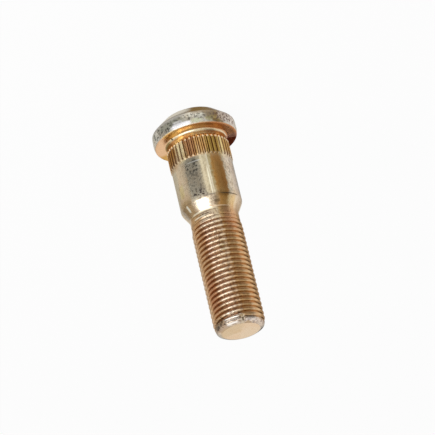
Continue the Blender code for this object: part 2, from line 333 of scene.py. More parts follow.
# Layers of paint: colour, mask and share of the colour
# The crests' pale colour is partly wear and partly a painted highlight
CREST_LAYERS = (("crest", ON_CREST, 1.0),)
GROOVE_AND_TOOTH_LAYERS = (
    # Painted light that lightens the shade in some grooves
    ("lightened_groove", IN_LIGHTENED_GROOVE, 0.6),
    # Painted shade in the darkest grooves
    ("groove_shade", IN_DARK_GROOVE, 0.9),
    # Painted shade on the teeth's sides
    ("tooth_side_shade", ON_TOOTH_SIDE, 0.9),
    # Painted highlights on both ends of the teeth
    ("tooth_end_highlight", ON_FIRST_TOOTH_END, 0.9),
    ("tooth_end_highlight", ON_LAST_TOOTH_END, 0.405),
)
HEAD_AND_END_LAYERS = (("cone", ON_CONE, 1.0), ("seat", ON_SEAT, 1.0), ("end_face", ON_END_FACE, 1.0))

# Share of the roots' painted shade away from their dark side and on it
ROOT_SHARES = (0.1, 0.9)

# Noise: size of its patches in millimetres, the levels at which it is empty and full, detail and roughness
MOTTLE_NOISE = (0.80, 0.45, 0.75, 6.0, 0.70)
PIT_NOISE = (0.60, 0.49, 0.58, 5.0, 0.60)
CLOUD_NOISE = (3.00, 0.40, 0.62, 4.0, 0.55)
STREAK_NOISE = (0.35, 0.50, 0.70, 5.0, 0.55)
STREAK_PULL = 0.12
MOTTLE_SHARE = 0.6
CLOUD_SHARE = 0.5
STREAK_SHARE = 0.5

# Noise that makes the stains ragged, its middle level, and its shift in degrees and millimetres
RAGGED_SIZE = 1 / 1.1
RAGGED_DETAIL = 4.0
RAGGED_ROUGHNESS = 0.6
NOISE_MIDDLE = (0.5, 0.5, 0.5)
RAGGED_SHIFT = (14, 1.6, 0)

# Gloss and relief of the plating, and the share of its colour in glancing reflections beside the cone's
PLAIN_ROUGHNESS = 0.24
MOTTLE_ROUGHNESS = 0.10
RIM_ROUGHNESS = 0.12
THREAD_ROUGHNESS = 0.06
PIT_RELIEF = -1.0
MOTTLE_RELIEF = -0.5
BUMP_STRENGTH = 0.5
BUMP_DISTANCE = 0.03 * MM
EDGE_TINT = 0.6

# Shade of the floor, its share of glow, and the sky's strength for matt surfaces
FLOOR_SHADE = 0.8
FLOOR_GLOW = 0.95
SKY_FILL = 0.5

# Sizes of the studio in metres, and the camera's sensor in millimetres
FLOOR_HALF_WIDTH = 3.0
CARD_LIFT = 0.1 * MM
LAMP_TARGET = Vector((0, 0, 0.03))
CLIP_START = 0.01
CLIP_END = 20.0
SENSOR_WIDTH = 36.0

# Facets round a card
CARD_STEPS = 36

# Cards: grey shade, bearing, half width and softness in degrees, inner and outer radius and height of the
# wall in millimetres, and the length over which the card fades in and out
CARDS = (
    ("left_card", 0.36, -49, 33, 11, 26, 68, 0, 8),
    ("far_left_card", 0.80, 20, 42, 12, 26, 299, 0, 8),
    ("far_left_wall", 0.48, 20, 44, 10, 299, 300, 165, 20),
    ("right_card", 0.34, -151, 21, 11, 26, 260, 200, 80),
    ("back_card", 0.04, 101, 6, 2, 80, 81, 70, 8),
)

# Lamps: bearing and elevation in degrees, distance, width and depth in metres, and the setting that holds
# the power
LAMPS = (
    ("key_light", -57, 35, 0.5, 0.44, 0.21, "key_power"),
    ("strip_light", 6, 16, 0.5, 0.03, 0.10, "strip_power"),
)


def length(name, millimetres, description):
    """Makes a property that holds a length, given in millimetres and kept in metres."""
    return FloatProperty(name=name, description=description, default=millimetres * MM, min=0.0,
                         subtype="DISTANCE", unit="LENGTH", precision=5)


def azimuth(name, degrees, description):
    """Makes a property that holds an angle about the stud's axis."""
    return FloatProperty(name=name, description=description, default=math.radians(degrees),
                         subtype="ANGLE", unit="ROTATION")


def colour(name, red, green, blue, description):
    """Makes a property that holds a colour."""
    return FloatVectorProperty(name=name, description=description, default=(red, green, blue),
                               min=0.0, max=1.0, size=3, subtype="COLOR")


class StudSizes(PropertyGroup):
    """The stud's sizes. Its length and its head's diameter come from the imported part."""

    head_diameter: length("Head diameter", (CAD_BOX[1].x - CAD_BOX[0].x) / MM, "Across the rim of the head")
    full_length: length("Full length", (CAD_BOX[1].z - CAD_BOX[0].z) / MM,
                        "From the head's top to the end face")
    head_height: length("Head height", 6.3, "From the head's top to its seat")
    head_top_diameter: length("Head top diameter", 14.4, "Across the flat top of the head")
    rim_height: length("Rim height", 3.3, "Height of the head's rim above its coned top")
    rim_lean: length("Rim lean", 0.05, "How far the rim leans in at the cone")
    rim_belly_height: length("Rim belly height", 1.05, "From the seat to the widest part of the rim")
    seat_edge_inset: length("Seat edge inset", 0.25, "How far the seat's edge lies inside the rim")
    seat_fillet: length("Seat fillet", 0.6, "Radius between the seat and the knurl's neck")
    knurl_neck: length("Knurl neck", 1.5, "From the seat to the teeth")
    knurl_length: length("Knurl length", 5.8, "Length of the teeth with both chamfers")
    knurl_diameter: length("Knurl diameter", 15.84, "Across the crests of the teeth")
    knurl_depth: length("Knurl depth", 0.42, "Depth of the grooves between the teeth")
    knurl_chamfer: length("Knurl chamfer", 0.45, "Length of the chamfer at each end of the teeth")
    knurl_teeth: IntProperty(name="Knurl teeth", description="Number of teeth round the knurl", default=42,
                             min=8)
    tooth_azimuth: azimuth("Tooth azimuth", -88.0, "Where the middle of one tooth lies")
    shank_diameter: length("Shank diameter", 15.44, "Across the plain shank")
    shoulder_height: length("Shoulder height", 24.8, "From the head's top to the corner before the taper")
    shoulder_round: length("Shoulder rounding", 1.6, "Radius of that corner")
    taper_length: length("Taper length", 2.85, "Height of the taper")
    taper_fillet: length("Taper fillet", 0.9, "Radius at the foot of the taper")
    neck_diameter: length("Neck diameter", 12.22, "Across the neck before the thread")
    neck_length: length("Neck length", 0.6, "Length of the plain neck")
    thread_diameter: length("Thread diameter", 12.7, "Across the crests of the thread")
    thread_pitch: length("Thread pitch", 1.27, "Distance from one crest to the next")
    thread_depth: length("Thread depth", 0.66, "From the crest down to the root")
    crest_flat: length("Crest flat", 0.34, "Width of the crest before its corners are rounded")
    root_flat: length("Root flat", 0.168, "Width of the root before its corners are rounded")
    root_run_in: length("Root run-in", 2.6, "Length over which the groove gets deep")
    crest_delay: length("Crest delay", 2.1, "How far the crest stays at the neck's size")
    crest_run_in: length("Crest run-in", 1.3, "Length over which the crest grows to its full size")
    groove_end: length("Groove end", 1.2, "From the end face to the place where the last groove stops")
    groove_azimuth: azimuth("Groove end azimuth", -100.0, "Where the last groove stops")
    lead_length: length("Lead length", 1.32, "Length over which the crest leans in at the tip")
    lead_drop: length("Lead drop", 0.34, "How far the crest leans in there")
    chamfer_length: length("Chamfer length", 1.0, "Height of the tip's chamfer")
    tip_shoulder_diameter: length("Tip shoulder diameter", 11.72, "Across the corner in the tip's chamfer")
    tip_shoulder_height: length("Tip shoulder height", 0.56, "From that corner to the end face")
    end_edge_diameter: length("End edge diameter", 9.96, "Across the worn edge of the end")
    end_edge_height: length("End edge height", 0.06, "From that edge to the end face")
    end_face_diameter: length("End face diameter", 9.0, "Across the flat end face")

    @property
    def rim_radius(self):
        return self.head_diameter / 2

    @property
    def rim_start(self):
        return self.head_height - self.rim_height

    @property
    def knurl_start(self):
        return self.head_height + self.knurl_neck

    @property
    def knurl_end(self):
        return self.knurl_start + self.knurl_length

    @property
    def tooth_radius(self):
        return self.knurl_diameter / 2

    @property
    def knurl_root(self):
        return self.tooth_radius - self.knurl_depth

    @property
    def taper_foot(self):
        return self.shoulder_height + self.taper_length

    @property
    def thread_start(self):
        return self.taper_foot + self.neck_length

    @property
    def groove_full(self):
        return self.thread_start + self.root_run_in

    @property
    def thread_end(self):
        return self.full_length - self.chamfer_length

    @property
    def lead_start(self):
        return self.thread_end - self.lead_length


class PlatingColours(PropertyGroup):
    """The colours of the zinc plating, as a white surface shows in them. Some of them are painted light and
    shade.
    """

    cone: colour("Cone", 0.42, 0.36, 0.28, "Coned top of the head")
    rim: colour("Rim", 0.62, 0.60, 0.53, "Rim of the head, worn to the bare zinc")
    seat: colour("Seat", 0.62, 0.38, 0.13, "Seat, where the chromate film is thick")
    # Painted highlight: the fillet's pale cream stands in for the light it catches from above
    fillet: colour("Fillet", 0.86, 0.77, 0.57, "Fillet between the seat and the neck")
    neck: colour("Neck", 0.57, 0.44, 0.23, "Neck between the seat and the knurl")
    knurl: colour("Knurl", 0.66, 0.40, 0.15, "Crests of the knurl and floors of its grooves")
    # Painted shade on the teeth's sides
    tooth_side_shade: colour("Tooth side", 0.13, 0.05, 0.02, "Sides of the teeth")
    # Painted highlights on both ends of the teeth, which catch the light
    tooth_end_highlight: colour("Tooth end", 1.00, 0.82, 0.56, "Both ends of the teeth, worn pale")
    shank: colour("Shank", 0.62, 0.55, 0.41, "Plain shank, worn pale")
    taper: colour("Taper", 0.76, 0.68, 0.53, "Taper beyond the shank")
    thread: colour("Thread", 0.56, 0.36, 0.19, "Flanks of the thread")
    # Worn pale, and also painted lighter as a highlight
    crest: colour("Crest", 0.68, 0.52, 0.36, "Crests of the thread, worn pale")
    # Painted shade: the roots are painted dark where shade falls in them
    root: colour("Root", 0.26, 0.10, 0.04, "Roots of the thread")
    # Painted light: pale paint that lightens the shade in these grooves
    lightened_groove: colour("Worn groove", 0.76, 0.50, 0.28, "Grooves of the thread where they are worn pale")
    # Painted shade in the darkest grooves
    groove_shade: colour("Dark groove", 0.05, 0.03, 0.02, "Grooves of the thread where they are darkest")
    tip: colour("Tip", 0.56, 0.52, 0.46, "Chamfer of the tip, worn to the bare zinc")
    end_face: colour("End face", 0.77, 0.62, 0.455, "Flat end face")
    mottle: colour("Mottle", 0.55, 0.52, 0.46, "Small dull spots that darken the plating")
    cloud: colour("Cloud", 1.00, 0.90, 0.82, "Broad warm patches that tint the plating")
    streak: colour("Streak", 0.78, 0.70, 0.56, "Fine streaks along the stud")


class StudioSettings(PropertyGroup):
    """The camera and the light."""

    camera_place: FloatVectorProperty(name="Camera place", description="Where the camera stands",
                                      default=(-0.000818, -0.536713, 0.276026), size=3,
                                      subtype="TRANSLATION", unit="LENGTH")
    camera_tilt: azimuth("Camera tilt", 65.1728, "How far the camera is raised from looking straight down")
    camera_roll: azimuth("Camera roll", 166.5260, "How far the camera is turned about its line of sight")
    camera_lens: FloatProperty(name="Lens", description="Focal length in millimetres for a 36 mm sensor",
                               default=198.62, min=1.0)
    key_power: FloatProperty(name="Key light", description="Power of the large lamp, in watts",
                             default=0.9, min=0.0, subtype="POWER")
    strip_power: FloatProperty(name="Strip light", description="Power of the narrow lamp, in watts",
                               default=0.05, min=0.0, subtype="POWER")


def share(value, start, reach):
    """Gives how far a value has come from a start over a reach, from 0 to 1."""
    return min(max((value - start) / reach, 0.0), 1.0)


def eased(value, start, reach):
    """Gives the same share with soft ends."""
    linear = share(value, start, reach)
    return linear * linear * (3 - 2 * linear)


def draw_profile(bm, corners, row):
    """Draws a profile through (radius, height, rounding) corners, rounds it and divides its long edges."""
    verts = [bm.verts.new((radius, 0, height)) for radius, height, _ in corners]
    for pair in zip(verts, verts[1:]):
        bm.edges.new(pair)
    for vert, (_, _, rounding) in zip(verts, corners):
        if rounding:
            before, after = (edge.other_vert(vert).co - vert.co for edge in vert.link_edges)
            half_turn = (math.pi - before.angle(after)) / 2
            bmesh.ops.bevel(bm, geom=[vert], offset=rounding * math.tan(half_turn), offset_type="OFFSET",
                            affect="VERTICES", segments=ROUND_SEGMENTS, profile=0.5, material=-1)
    for edge in [edge for edge in bm.edges if edge.is_wire]:
        cuts = math.ceil(edge.calc_length() / row - ROUNDING_ERROR) - 1
        if cuts > 0:
            bmesh.ops.subdivide_edges(bm, edges=[edge], cuts=cuts)


def spin_profile(bm, start, segments, lead=0.0):
    """Spins the drawn profile once about the axis from an azimuth, climbing by the lead."""
    bmesh.ops.rotate(bm, verts=bm.verts, cent=(0, 0, 0), matrix=Matrix.Rotation(start, 3, "Z"))
    bmesh.ops.spin(bm, geom=bm.verts[:] + bm.edges[:], cent=(0, 0, 0), axis=(0, 0, 1),
                   dvec=(0, 0, lead / segments), angle=math.tau, steps=segments, use_merge=not lead)
    bmesh.ops.remove_doubles(bm, verts=bm.verts, dist=MERGE_DISTANCE)


def open_ring(bm, height):
    """Gives the open edges that lie at one height."""
    return [edge for edge in bm.edges if edge.is_boundary
            and all(abs(vert.co.z - height) < MERGE_DISTANCE for vert in edge.verts)]


def crest_radius(sizes, height):
    """Gives the radius that the thread's crest reaches at a height, from the neck to the tip's chamfer."""
    neck = sizes.neck_diameter / 2
    grown = eased(height, sizes.thread_start + sizes.crest_delay, sizes.crest_run_in)
    led_in = share(height, sizes.lead_start, sizes.lead_length)
    return neck + (sizes.thread_diameter / 2 - neck) * grown - sizes.lead_drop * led_in


def groove_share(sizes, place):
    """Gives how much of its depth the groove has at a place: none on the neck or past its last turn."""
    around = (math.atan2(place.y, place.x) - sizes.groove_azimuth) / math.tau % 1.0
    climbed = (place.z - sizes.full_length + sizes.groove_end) / sizes.thread_pitch
    turns_past_end = around + round(climbed - around)
    rolled_out = share(-turns_past_end, 0, GROOVE_STOP)
    tail = TAIL_DEPTH * share(GROOVE_TAIL - turns_past_end, 0, GROOVE_TAIL)
    return max(rolled_out, tail) * share(place.z, sizes.thread_start, sizes.root_run_in)


def add_thread(bm, sizes):
    """Sweeps one pitch of the rolled thread up a helix, cuts it to length and shapes both its ends."""
    crest = sizes.thread_diameter / 2
    root = crest - sizes.thread_depth
    groove_end = sizes.full_length - sizes.groove_end
    turns_below = math.ceil((groove_end - sizes.thread_start) / sizes.thread_pitch) + 1
    turns_above = math.ceil(sizes.groove_end / sizes.thread_pitch) + 1
    low = groove_end - turns_below * sizes.thread_pitch
    middle = low + sizes.thread_pitch / 2
    high = low + sizes.thread_pitch
    draw_profile(bm, [
        (root, low, 0),
        (root, low + sizes.root_flat / 2, ROOT_ROUND),
        (crest, middle - sizes.crest_flat / 2, CREST_ROUND),
        (crest, middle + sizes.crest_flat / 2, CREST_ROUND),
        (root, high - sizes.root_flat / 2, ROOT_ROUND),
        (root, high, 0),
    ], THREAD_ROW)
    spin_profile(bm, sizes.groove_azimuth, THREAD_SEGMENTS, sizes.thread_pitch)
    one_turn = bm.verts[:] + bm.edges[:] + bm.faces[:]
    for turn in range(1, turns_below + turns_above):
        copied = bmesh.ops.duplicate(bm, geom=one_turn)["geom"]
        bmesh.ops.translate(bm, verts=[item for item in copied if isinstance(item, bmesh.types.BMVert)],
                            vec=(0, 0, turn * sizes.thread_pitch))
    bmesh.ops.remove_doubles(bm, verts=bm.verts, dist=MERGE_DISTANCE)
    for height, side in ((sizes.thread_start, "clear_inner"), (sizes.thread_end, "clear_outer")):
        bmesh.ops.bisect_plane(bm, geom=bm.verts[:] + bm.edges[:] + bm.faces[:], dist=MERGE_DISTANCE,
                               plane_co=(0, 0, height), plane_no=(0, 0, 1), **{side: True})
    for vert in bm.verts:
        reach = crest_radius(sizes, vert.co.z)
        radius = vert.co.xy.length
        vert.co.xy *= (reach + (min(radius, reach) - reach) * groove_share(sizes, vert.co)) / radius


def add_tip(bm, sizes):
    """Models the tip's chamfer and the end face."""
    lead_end = crest_radius(sizes, sizes.thread_end)
    shoulder = sizes.tip_shoulder_diameter / 2
    reach = sizes.chamfer_length - sizes.tip_shoulder_height
    draw_profile(bm, [
        (lead_end + (shoulder - lead_end) * TIP_BAND / reach, sizes.thread_end + TIP_BAND, 0),
        (shoulder, sizes.full_length - sizes.tip_shoulder_height, TIP_SHOULDER_ROUND),
        (sizes.end_edge_diameter / 2, sizes.full_length - sizes.end_edge_height, END_EDGE_ROUND),
        (sizes.end_face_diameter / 2, sizes.full_length, FACE_EDGE_ROUND),
        (0, sizes.full_length, 0),
    ], BODY_ROW)
    spin_profile(bm, 0, BODY_SEGMENTS)


def add_shank(bm, sizes):
    """Models the plain shank, its rounded shoulder and the taper in to the neck."""
    shank = sizes.shank_diameter / 2
    neck = sizes.neck_diameter / 2
    draw_profile(bm, [
        (shank, sizes.knurl_end + JOIN_BAND, 0),
        (shank, sizes.shoulder_height, sizes.shoulder_round),
        (neck, sizes.taper_foot, sizes.taper_fillet),
        (neck, sizes.thread_start - JOIN_BAND, 0),
    ], BODY_ROW)
    spin_profile(bm, 0, BODY_SEGMENTS)


def add_knurl(bm, sizes):
    """Models a ring of straight teeth that run in over a chamfer at the head and out into the shank."""
    tooth_angle = math.tau / sizes.knurl_teeth
    draw_profile(bm, [
        (sizes.knurl_root, sizes.knurl_start, 0),
        (sizes.knurl_root, sizes.knurl_end, 0),
    ], KNURL_ROW)
    spin_profile(bm, sizes.tooth_azimuth, sizes.knurl_teeth * TOOTH_SEGMENTS)
    for vert in bm.verts:
        around = (math.atan2(vert.co.y, vert.co.x) - sizes.tooth_azimuth) / tooth_angle % 1.0
        tooth = eased(abs(around - 0.5) * 2, GROOVE_FLOOR, 1 - GROOVE_FLOOR - TOOTH_LAND)
        rise = share(vert.co.z, sizes.knurl_start, sizes.knurl_chamfer)
        toothed = sizes.knurl_root + sizes.knurl_depth * tooth * rise
        run_out = eased(vert.co.z, sizes.knurl_end - sizes.knurl_chamfer, sizes.knurl_chamfer)
        vert.co.xy *= (toothed + (sizes.shank_diameter / 2 - toothed) * run_out) / sizes.knurl_root


def add_head(bm, sizes):
    """Models the head: its flat and coned top, its rim, the seat and the fillet in to the knurl's neck."""
    top = sizes.head_top_diameter / 2
    rim = sizes.rim_radius
    seat = sizes.head_height
    draw_profile(bm, [
        (0, 0, 0),
        (top, 0, TOP_EDGE_ROUND),
        (rim - sizes.rim_lean, sizes.rim_start, RIM_TOP_ROUND),
        (rim, seat - sizes.rim_belly_height, RIM_BELLY_ROUND),
        (rim - sizes.seat_edge_inset, seat, SEAT_EDGE_ROUND),
        (sizes.knurl_root, seat, sizes.seat_fillet),
        (sizes.knurl_root, sizes.knurl_start - JOIN_BAND, 0),
    ], BODY_ROW)
    spin_profile(bm, 0, BODY_SEGMENTS)


def forge_stud(sizes):
    """Joins the sections of the stud into one closed mesh."""
    mesh = bpy.data.meshes.new(STUD_PIECE)
    bm = bmesh.new()
    for add_section in (add_thread, add_tip, add_shank, add_knurl, add_head):
        section = bmesh.new()
        add_section(section, sizes)
        section.to_mesh(mesh)
        section.free()
        bm.from_mesh(mesh)
    for upper, lower in ((sizes.thread_end + TIP_BAND, sizes.thread_end),
                         (sizes.thread_start, sizes.thread_start - JOIN_BAND),
                         (sizes.knurl_end + JOIN_BAND, sizes.knurl_end),
                         (sizes.knurl_start, sizes.knurl_start - JOIN_BAND)):
        bmesh.ops.bridge_loops(bm, edges=open_ring(bm, upper) + open_ring(bm, lower))
    bmesh.ops.recalc_face_normals(bm, faces=bm.faces)
    bm.to_mesh(mesh)
    bm.free()
    mesh.shade_smooth()
    mesh.set_sharp_from_angle(angle=SHARP_ANGLE)
    return mesh


def new_material(name):
    """Makes a material that shader nodes define."""
    material = bpy.data.materials.new(name)
    material.use_nodes = True
    return material


def add_node(tree, kind, inputs=(), **settings):
    """Adds a shader node. Each input is a value or the socket that it reads, by its name or number."""
    made = tree.nodes.new(kind)
    for name, value in settings.items():
        setattr(made, name, value)
    for key, value in dict(inputs).items():
        if isinstance(value, NodeSocket):
            tree.links.new(value, made.inputs[key])
        else:
            made.inputs[key].default_value = value
    return made


def calculate(tree, operation, *values):
    """Adds a Math node that works on values and sockets."""
    return add_node(tree, "ShaderNodeMath", enumerate(values), operation=operation).outputs[0]


def fade(tree, value, start, end):
    """Gives a mask that rises softly from 0 at the start to 1 at the end."""
    return add_node(tree, "ShaderNodeMapRange", {"Value": value, "From Min": start, "From Max": end},
                    interpolation_type="SMOOTHSTEP").outputs["Result"]


def move(tree, operation, *vectors):
    """Adds a Vector Math node that works on vectors and sockets, and gives its node."""
    return add_node(tree, "ShaderNodeVectorMath", enumerate(vectors), operation=operation)


def stretch(tree, vector, x, y, z):
    """Gives coordinates scaled along each axis."""
    return move(tree, "MULTIPLY", vector, (x, y, z)).outputs["Vector"]


def add_noise(tree, vector, size, detail, roughness):
    """Adds a noise texture with patches of a size in millimetres."""
    values = {"Vector": vector, "Scale": 1 / size, "Detail": detail, "Roughness": roughness}
    return add_node(tree, "ShaderNodeTexNoise", values).outputs


def speckle(tree, vector, size, low, high, detail, roughness):
    """Gives a mask of noise, spread between two levels of the noise."""
    return fade(tree, add_noise(tree, vector, size, detail, roughness)["Fac"], low, high)


def paint(tree, under, over, mask, blend="MIX"):
    """Lays a colour over another one where a mask says."""
    if not isinstance(over, NodeSocket):
        over = (*over, 1.0)
    # Inputs 6 and 7 and output 2 are the ones that mix colours
    mixed = add_node(tree, "ShaderNodeMix", {"Factor": mask, 6: under, 7: over}, data_type="RGBA",
                     blend_type=blend)
    return mixed.outputs[2]


def paint_marks(tree, shade, chart, marks, grain=1.0):
    """Paints marks over a colour where the chart's azimuth and height say, in grains if a mask is given."""
    for around, half_width, height, half_height, softness, strength, tone in marks:
        off = move(tree, "SUBTRACT", chart, (around, height, 0)).outputs["Vector"]
        off = stretch(tree, off, 1 / half_width, 1 / half_height, 0)
        # Fourth powers make the mark a rounded rectangle
        squared = move(tree, "MULTIPLY", off, off).outputs["Vector"]
        edge = move(tree, "DOT_PRODUCT", squared, squared).outputs["Value"]
        inside = fade(tree, edge, (1 + softness) ** 4, (1 - softness) ** 4)
        inside = calculate(tree, "MULTIPLY", inside, grain)
        shade = paint(tree, shade, tone, calculate(tree, "MULTIPLY", inside, strength))
    return shade


def chart_stud(tree, colours, sizes):
    """Gathers what the plating's layers share, with sockets that say where on the stud a point lies."""
    place = stretch(tree, add_node(tree, "ShaderNodeTexCoord").outputs["Object"], 1 / MM, 1 / MM, 1 / MM)
    axes = add_node(tree, "ShaderNodeSeparateXYZ", {"Vector": place}).outputs
    radius = move(tree, "LENGTH", stretch(tree, place, 1, 1, 0)).outputs["Value"]
    behind = calculate(tree, "MULTIPLY", axes["Y"], -1.0)
    around = calculate(tree, "DEGREES", calculate(tree, "ARCTAN2", axes["X"], behind))
    around = calculate(tree, "SUBTRACT", around, 90.0)
    above_seat = calculate(tree, "SUBTRACT", axes["Z"], sizes.head_height / MM)
    below_crest = calculate(tree, "SUBTRACT", sizes.thread_diameter / 2 / MM, radius)
    return SimpleNamespace(
        tree=tree,
        colours=colours,
        sizes=sizes,
        place=place,
        height=axes["Z"],
        radius=radius,
        azimuth=around,
        sunk=calculate(tree, "DIVIDE", below_crest, sizes.thread_depth / MM),
        flat=add_node(tree, "ShaderNodeCombineXYZ", {"X": around, "Y": above_seat}).outputs["Vector"],
        mottle=speckle(tree, place, *MOTTLE_NOISE),
        pits=speckle(tree, place, *PIT_NOISE),
    )


def roughen(stud):
    """Gives the flat chart shifted by noise, so that marks on it have ragged edges."""
    wander = add_noise(stud.tree, stud.place, RAGGED_SIZE, RAGGED_DETAIL, RAGGED_ROUGHNESS)["Color"]
    wander = move(stud.tree, "SUBTRACT", wander, NOISE_MIDDLE).outputs["Vector"]
    return move(stud.tree, "MULTIPLY_ADD", wander, RAGGED_SHIFT, stud.flat).outputs["Vector"]


def soft_mask(stud, edges):
    """Gives the mask of what lies inside all of the edges."""
    inside = 1.0
    for measure, size, empty, full in edges:
        border = getattr(stud.sizes, size) / MM if size else 0.0
        edge = fade(stud.tree, getattr(stud, measure), border + empty, border + full)
        inside = calculate(stud.tree, "MULTIPLY", edge, inside)
    return inside


def paint_zones(stud):
    """Gives the plating's colour by the height above the head's top."""
    climbed = calculate(stud.tree, "DIVIDE", stud.height, stud.sizes.full_length / MM)
    zones = add_node(stud.tree, "ShaderNodeValToRGB", {"Fac": climbed})
    ramp = zones.color_ramp
    # A new ramp has two elements
    for _ in ZONES[2:]:
        ramp.elements.new(0.5)
    for element, (tone, size, step) in zip(ramp.elements, ZONES):
        element.position = (getattr(stud.sizes, size) + step * MM) / stud.sizes.full_length
        element.color = (*getattr(stud.colours, tone), 1.0)
    return zones.outputs["Color"]


def paint_layers(stud, shade, layers):
    """Paints layers over a colour, each where its mask says."""
    for tone, edges, strength in layers:
        inside = calculate(stud.tree, "MULTIPLY", soft_mask(stud, edges), strength)
        shade = paint(stud.tree, shade, getattr(stud.colours, tone), inside)
    return shade


def paint_roots(stud, shade):
    """Paints shade into the thread's roots, strongly only on their dark side."""
    least, most = ROOT_SHARES
    strength = calculate(stud.tree, "MULTIPLY_ADD", soft_mask(stud, DARK_ROOT_SIDE), most - least, least)
    inside = calculate(stud.tree, "MULTIPLY", soft_mask(stud, IN_ROOT), strength)
    return paint(stud.tree, shade, stud.colours.root, inside)


def tint(tree, shade, tone, mask, strength):
    """Multiplies a colour by another one where a mask says."""
    return paint(tree, shade, tone, calculate(tree, "MULTIPLY", mask, strength), "MULTIPLY")


def paint_plating(stud):
    """Gives the plating's colour: zones, stains, grooves, edges, painted light and shade, then the wear."""
    tree = stud.tree
    ragged = roughen(stud)
    shade = paint_layers(stud, paint_zones(stud), CREST_LAYERS)
    shade = paint_marks(tree, shade, ragged, STAINS_AND_PAINTED_LIGHT)
    shade = paint_roots(stud, shade)
    shade = paint_layers(stud, shade, GROOVE_AND_TOOTH_LAYERS)
    shade = tint(tree, shade, stud.colours.mottle, stud.mottle, MOTTLE_SHARE)
    shade = paint_marks(tree, shade, ragged, PITTED, stud.pits)
    shade = paint_layers(stud, shade, HEAD_AND_END_LAYERS)
    clouds = speckle(tree, stud.place, *CLOUD_NOISE)
    shade = tint(tree, shade, stud.colours.cloud, clouds, CLOUD_SHARE)
    streaks = speckle(tree, stretch(tree, stud.place, 1, 1, STREAK_PULL), *STREAK_NOISE)
    shade = tint(tree, shade, stud.colours.streak, streaks, STREAK_SHARE)
    return paint_marks(tree, shade, stud.flat, CLEAN_MARKS)


def dull_plating(stud):
    """Gives the plating's roughness, with the rim, the thread and the mottle duller than the rest."""
    roughness = calculate(stud.tree, "MULTIPLY_ADD", stud.mottle, MOTTLE_ROUGHNESS, PLAIN_ROUGHNESS)
    roughness = calculate(stud.tree, "MULTIPLY_ADD", soft_mask(stud, ON_RIM), RIM_ROUGHNESS, roughness)
    return calculate(stud.tree, "MULTIPLY_ADD", soft_mask(stud, ON_THREAD), THREAD_ROUGHNESS, roughness)


def emboss_plating(stud):
    """Gives the normals of the mottle's shallow dents and of the pits in the rim."""
    rim_pits = calculate(stud.tree, "MULTIPLY", soft_mask(stud, ON_RIM), stud.pits)
    dents = calculate(stud.tree, "MULTIPLY", stud.mottle, MOTTLE_RELIEF)
    relief = calculate(stud.tree, "MULTIPLY_ADD", rim_pits, PIT_RELIEF, dents)
    values = {"Strength": BUMP_STRENGTH, "Distance": BUMP_DISTANCE, "Height": relief}
    return add_node(stud.tree, "ShaderNodeBump", values).outputs["Normal"]


def tint_edges(stud, shade):
    """Gives the tint of glancing reflections, which take the plating's full colour only on the cone."""
    strength = calculate(stud.tree, "MULTIPLY_ADD", soft_mask(stud, ON_CONE), 1 - EDGE_TINT, EDGE_TINT)
    return paint(stud.tree, WHITE, shade, strength)


def plate_stud(colours, sizes):
    """Makes the material of the worn yellow zinc plating, with its painted highlights and shade."""
    material = new_material("worn_yellow_zinc")
    tree = material.node_tree
    stud = chart_stud(tree, colours, sizes)
    shade = paint_plating(stud)
    inputs = tree.nodes["Principled BSDF"].inputs
    inputs["Metallic"].default_value = 1.0
    tree.links.new(shade, inputs["Base Color"])
    tree.links.new(tint_edges(stud, shade), inputs["Specular Tint"])
    tree.links.new(dull_plating(stud), inputs["Roughness"])
    tree.links.new(emboss_plating(stud), inputs["Normal"])
    return material


def emission(tree, strength):
    """Adds a white glow of a strength."""
    return add_node(tree, "ShaderNodeEmission", {"Strength": strength}).outputs[0]


def seen_directly(tree):
    """Gives a mask of the rays that come from the camera or off metal or glass."""
    rays = add_node(tree, "ShaderNodeLightPath").outputs
    found = calculate(tree, "MAXIMUM", rays["Is Camera Ray"], rays["Is Glossy Ray"])
    return calculate(tree, "MAXIMUM", found, rays["Is Transmission Ray"])


def stage_object(name, bm, material):
    """Makes a stage object from a mesh and its material."""
    mesh = bpy.data.meshes.new(name)
    bm.to_mesh(mesh)
    bm.free()
    mesh.materials.append(material)
    made = bpy.data.objects.new(name, mesh)
    bpy.context.scene.collection.objects.link(made)
    return made


def add_floor():
    """Adds the white floor, which shows a faint shadow of the stud."""
    material = new_material("white_floor")
    tree = material.node_tree
    matt = tree.nodes["Principled BSDF"]
    matt.inputs["Base Color"].default_value = (FLOOR_SHADE, FLOOR_SHADE, FLOOR_SHADE, 1.0)
    matt.inputs["Roughness"].default_value = 1.0
    matt.inputs["Specular IOR Level"].default_value = 0.0
    plain = matt.outputs[0]
    glow = emission(tree, 1.0)
    white = add_node(tree, "ShaderNodeMixShader", {0: FLOOR_GLOW, 1: plain, 2: glow}).outputs[0]
    mixed = add_node(tree, "ShaderNodeMixShader", {0: seen_directly(tree), 1: plain, 2: white}).outputs[0]
    tree.links.new(mixed, tree.nodes["Material Output"].inputs["Surface"])
    bm = bmesh.new()
    bmesh.ops.create_grid(bm, x_segments=1, y_segments=1, size=FLOOR_HALF_WIDTH)
    return stage_object("floor", bm, material)


